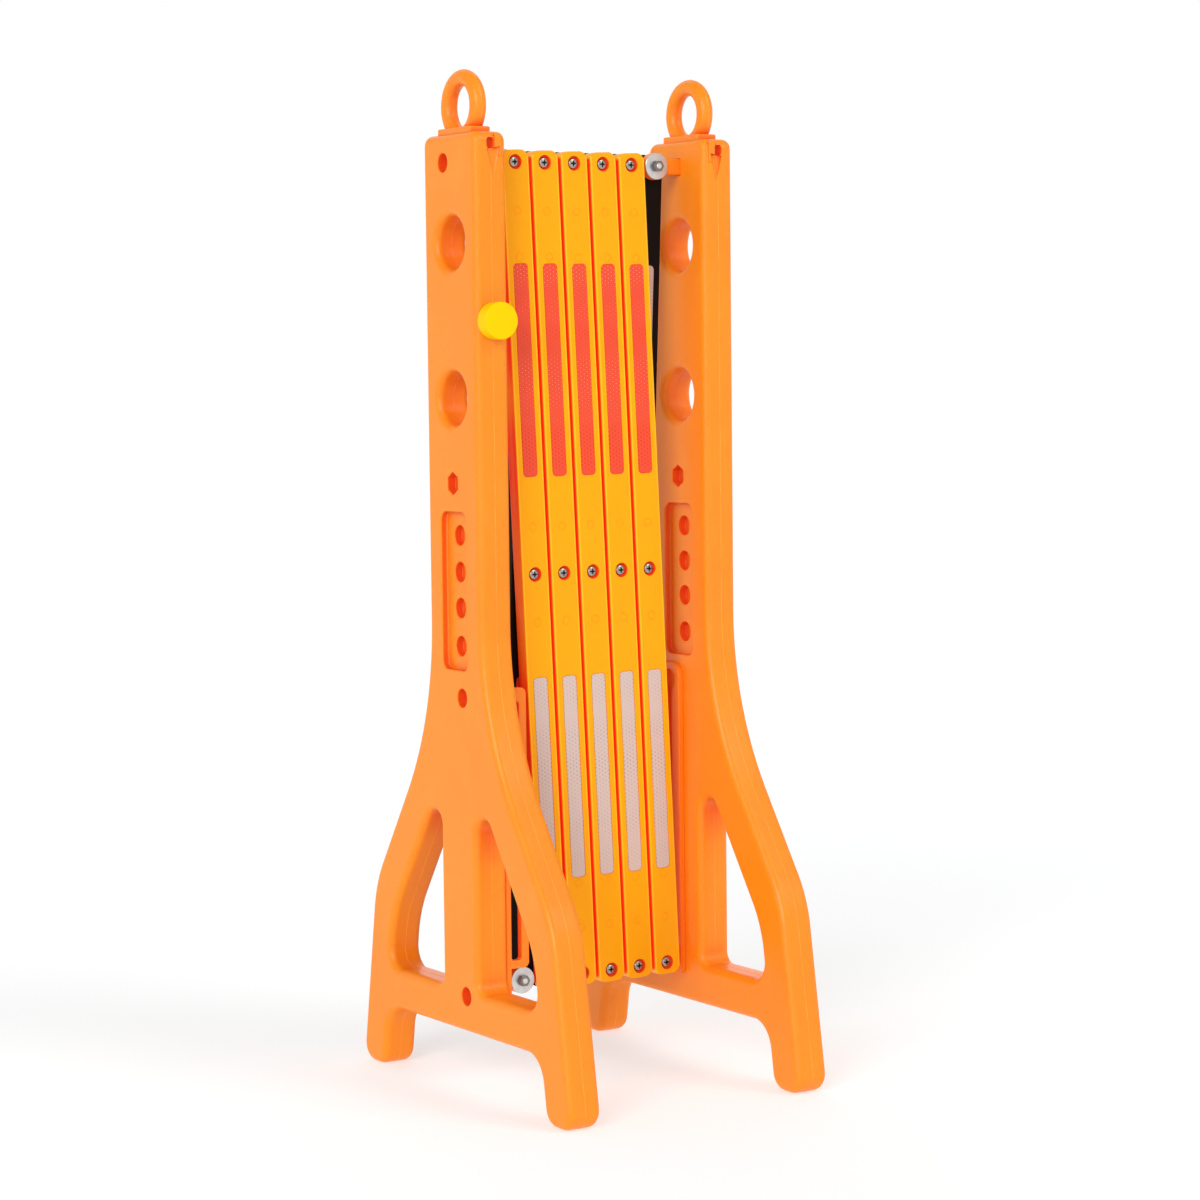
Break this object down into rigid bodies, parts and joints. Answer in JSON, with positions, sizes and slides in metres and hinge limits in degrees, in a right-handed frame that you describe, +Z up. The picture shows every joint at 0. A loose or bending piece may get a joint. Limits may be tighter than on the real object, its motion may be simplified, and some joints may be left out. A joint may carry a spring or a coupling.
{
  "type": "expanding traffic barrier",
  "caption": "Folding safety barrier: moulded footed end posts joined by an expanding scissor lattice of slats on pivot screws, with reflective strips, guide rails and sliders.",
  "frame": {"origin": "centre of the closed barrier's footprint, on the floor", "axes": "+Z up, +X along the way the barrier opens, towards the right post, -Y the front with the yellow slats"},
  "size_m": [0.2936, 0.3932, 0.9796],
  "materials": {
    "orange_plastic": "fine orange-peel texture",
    "yellow_plastic": "satin",
    "black_plastic": "satin",
    "red_strip": "retroreflective sheet with fine dots",
    "white_strip": "retroreflective sheet with fine dots",
    "steel": "zinc plated",
    "cap_plastic": "smooth"
  },
  "bodies": {
    "left_end": {"left_post": "orange_plastic", "left_guide_rail": "orange_plastic", "left_top_bracket": "orange_plastic", "left_bracket_washer": "steel"},
    "right_end": {"right_post": "orange_plastic", "right_guide_rail": "orange_plastic", "right_top_bracket": "orange_plastic", "right_bracket_washer": "steel"},
    "left_slide": {"left_slider": "orange_plastic", "left_slider_washer": "steel"},
    "right_slide": {"right_slider": "orange_plastic", "right_slider_washer": "steel"},
    "cap": {"filler_cap": "cap_plastic"},
    "front_1": {"front_slat_1": "yellow_plastic", "front_upper_strip_1": "red_strip", "front_lower_strip_1": "white_strip", "centre_screw_1": "steel", "lower_screw_1": "steel", "left_bracket_screw": "steel"},
    "rear_1": {"rear_slat_1": "black_plastic", "rear_upper_strip_1": "white_strip", "rear_lower_strip_1": "red_strip", "left_slider_screw": "steel"},
    "front_2": {"front_slat_2": "yellow_plastic", "front_upper_strip_2": "red_strip", "front_lower_strip_2": "white_strip", "centre_screw_2": "steel", "lower_screw_2": "steel", "upper_screw_1": "steel"},
    "rear_2": {"rear_slat_2": "black_plastic", "rear_upper_strip_2": "white_strip", "rear_lower_strip_2": "red_strip"},
    "front_3": {"front_slat_3": "yellow_plastic", "front_upper_strip_3": "red_strip", "front_lower_strip_3": "white_strip", "centre_screw_3": "steel", "lower_screw_3": "steel", "upper_screw_2": "steel"},
    "rear_3": {"rear_slat_3": "black_plastic", "rear_upper_strip_3": "white_strip", "rear_lower_strip_3": "red_strip"},
    "front_4": {"front_slat_4": "yellow_plastic", "front_upper_strip_4": "red_strip", "front_lower_strip_4": "white_strip", "centre_screw_4": "steel", "lower_screw_4": "steel", "upper_screw_3": "steel"},
    "rear_4": {"rear_slat_4": "black_plastic", "rear_upper_strip_4": "white_strip", "rear_lower_strip_4": "red_strip"},
    "front_5": {"front_slat_5": "yellow_plastic", "front_upper_strip_5": "red_strip", "front_lower_strip_5": "white_strip", "centre_screw_5": "steel", "upper_screw_4": "steel", "right_slider_screw": "steel"},
    "rear_5": {"rear_slat_5": "black_plastic", "rear_upper_strip_5": "white_strip", "rear_lower_strip_5": "red_strip", "right_bracket_screw": "steel"}
  },
  "joints": [
    {"name": "lattice_open", "type": "hinge", "parent": "left_end", "child": "front_1", "pos_m": [-0.0825, 0, 0.89315], "axis": [0, -1, 0], "range_deg": [0, 45]},
    {"name": "centre_pivot_1", "type": "hinge", "parent": "front_1", "child": "rear_1", "pos_m": [-0.066, 0, 0.4995], "axis": [0, -1, 0], "range_deg": [-90, 0]},
    {"name": "lower_pivot_1", "type": "hinge", "parent": "front_1", "child": "rear_2", "pos_m": [-0.0495, 0, 0.10585], "axis": [0, -1, 0], "range_deg": [-90, 0]},
    {"name": "centre_pivot_2", "type": "hinge", "parent": "rear_2", "child": "front_2", "pos_m": [-0.033, 0, 0.4995], "axis": [0, -1, 0], "range_deg": [0, 90]},
    {"name": "upper_pivot_2", "type": "hinge", "parent": "rear_2", "child": "front_3", "pos_m": [-0.0165, 0, 0.89315], "axis": [0, -1, 0], "range_deg": [0, 90]},
    {"name": "centre_pivot_3", "type": "hinge", "parent": "front_3", "child": "rear_3", "pos_m": [0, 0, 0.4995], "axis": [0, -1, 0], "range_deg": [-90, 0]},
    {"name": "lower_pivot_3", "type": "hinge", "parent": "front_3", "child": "rear_4", "pos_m": [0.0165, 0, 0.10585], "axis": [0, -1, 0], "range_deg": [-90, 0]},
    {"name": "centre_pivot_4", "type": "hinge", "parent": "rear_4", "child": "front_4", "pos_m": [0.033, 0, 0.4995], "axis": [0, -1, 0], "range_deg": [0, 90]},
    {"name": "upper_pivot_4", "type": "hinge", "parent": "rear_4", "child": "front_5", "pos_m": [0.0495, 0, 0.89315], "axis": [0, -1, 0], "range_deg": [0, 90]},
    {"name": "centre_pivot_5", "type": "hinge", "parent": "front_5", "child": "rear_5", "pos_m": [0.066, 0, 0.4995], "axis": [0, -1, 0], "range_deg": [-90, 0]},
    {"name": "right_bracket_pivot", "type": "hinge", "parent": "rear_5", "child": "right_end", "pos_m": [0.0825, 0, 0.89315], "axis": [0, -1, 0], "range_deg": [0, 45]},
    {"name": "left_slider_pivot", "type": "hinge", "parent": "rear_1", "child": "left_slide", "pos_m": [-0.0825, 0, 0.10585], "axis": [0, -1, 0], "range_deg": [0, 45]},
    {"name": "right_slider_pivot", "type": "hinge", "parent": "front_5", "child": "right_slide", "pos_m": [0.0825, 0, 0.10585], "axis": [0, -1, 0], "range_deg": [-45, 0]},
    {"name": "cap_turn", "type": "hinge", "parent": "left_end", "child": "cap", "pos_m": [-0.129, -0.0495, 0.742], "axis": [0, -1, 0], "continuous": true}
  ],
  "couplings": [
    {"joint": "centre_pivot_1", "follows": "lattice_open", "ratio": -2},
    {"joint": "lower_pivot_1", "follows": "lattice_open", "ratio": -2},
    {"joint": "centre_pivot_2", "follows": "lattice_open", "ratio": 2},
    {"joint": "upper_pivot_2", "follows": "lattice_open", "ratio": 2},
    {"joint": "centre_pivot_3", "follows": "lattice_open", "ratio": -2},
    {"joint": "lower_pivot_3", "follows": "lattice_open", "ratio": -2},
    {"joint": "centre_pivot_4", "follows": "lattice_open", "ratio": 2},
    {"joint": "upper_pivot_4", "follows": "lattice_open", "ratio": 2},
    {"joint": "centre_pivot_5", "follows": "lattice_open", "ratio": -2},
    {"joint": "right_bracket_pivot", "follows": "lattice_open", "ratio": 1},
    {"joint": "left_slider_pivot", "follows": "lattice_open", "ratio": 1},
    {"joint": "right_slider_pivot", "follows": "lattice_open", "ratio": -1}
  ]
}
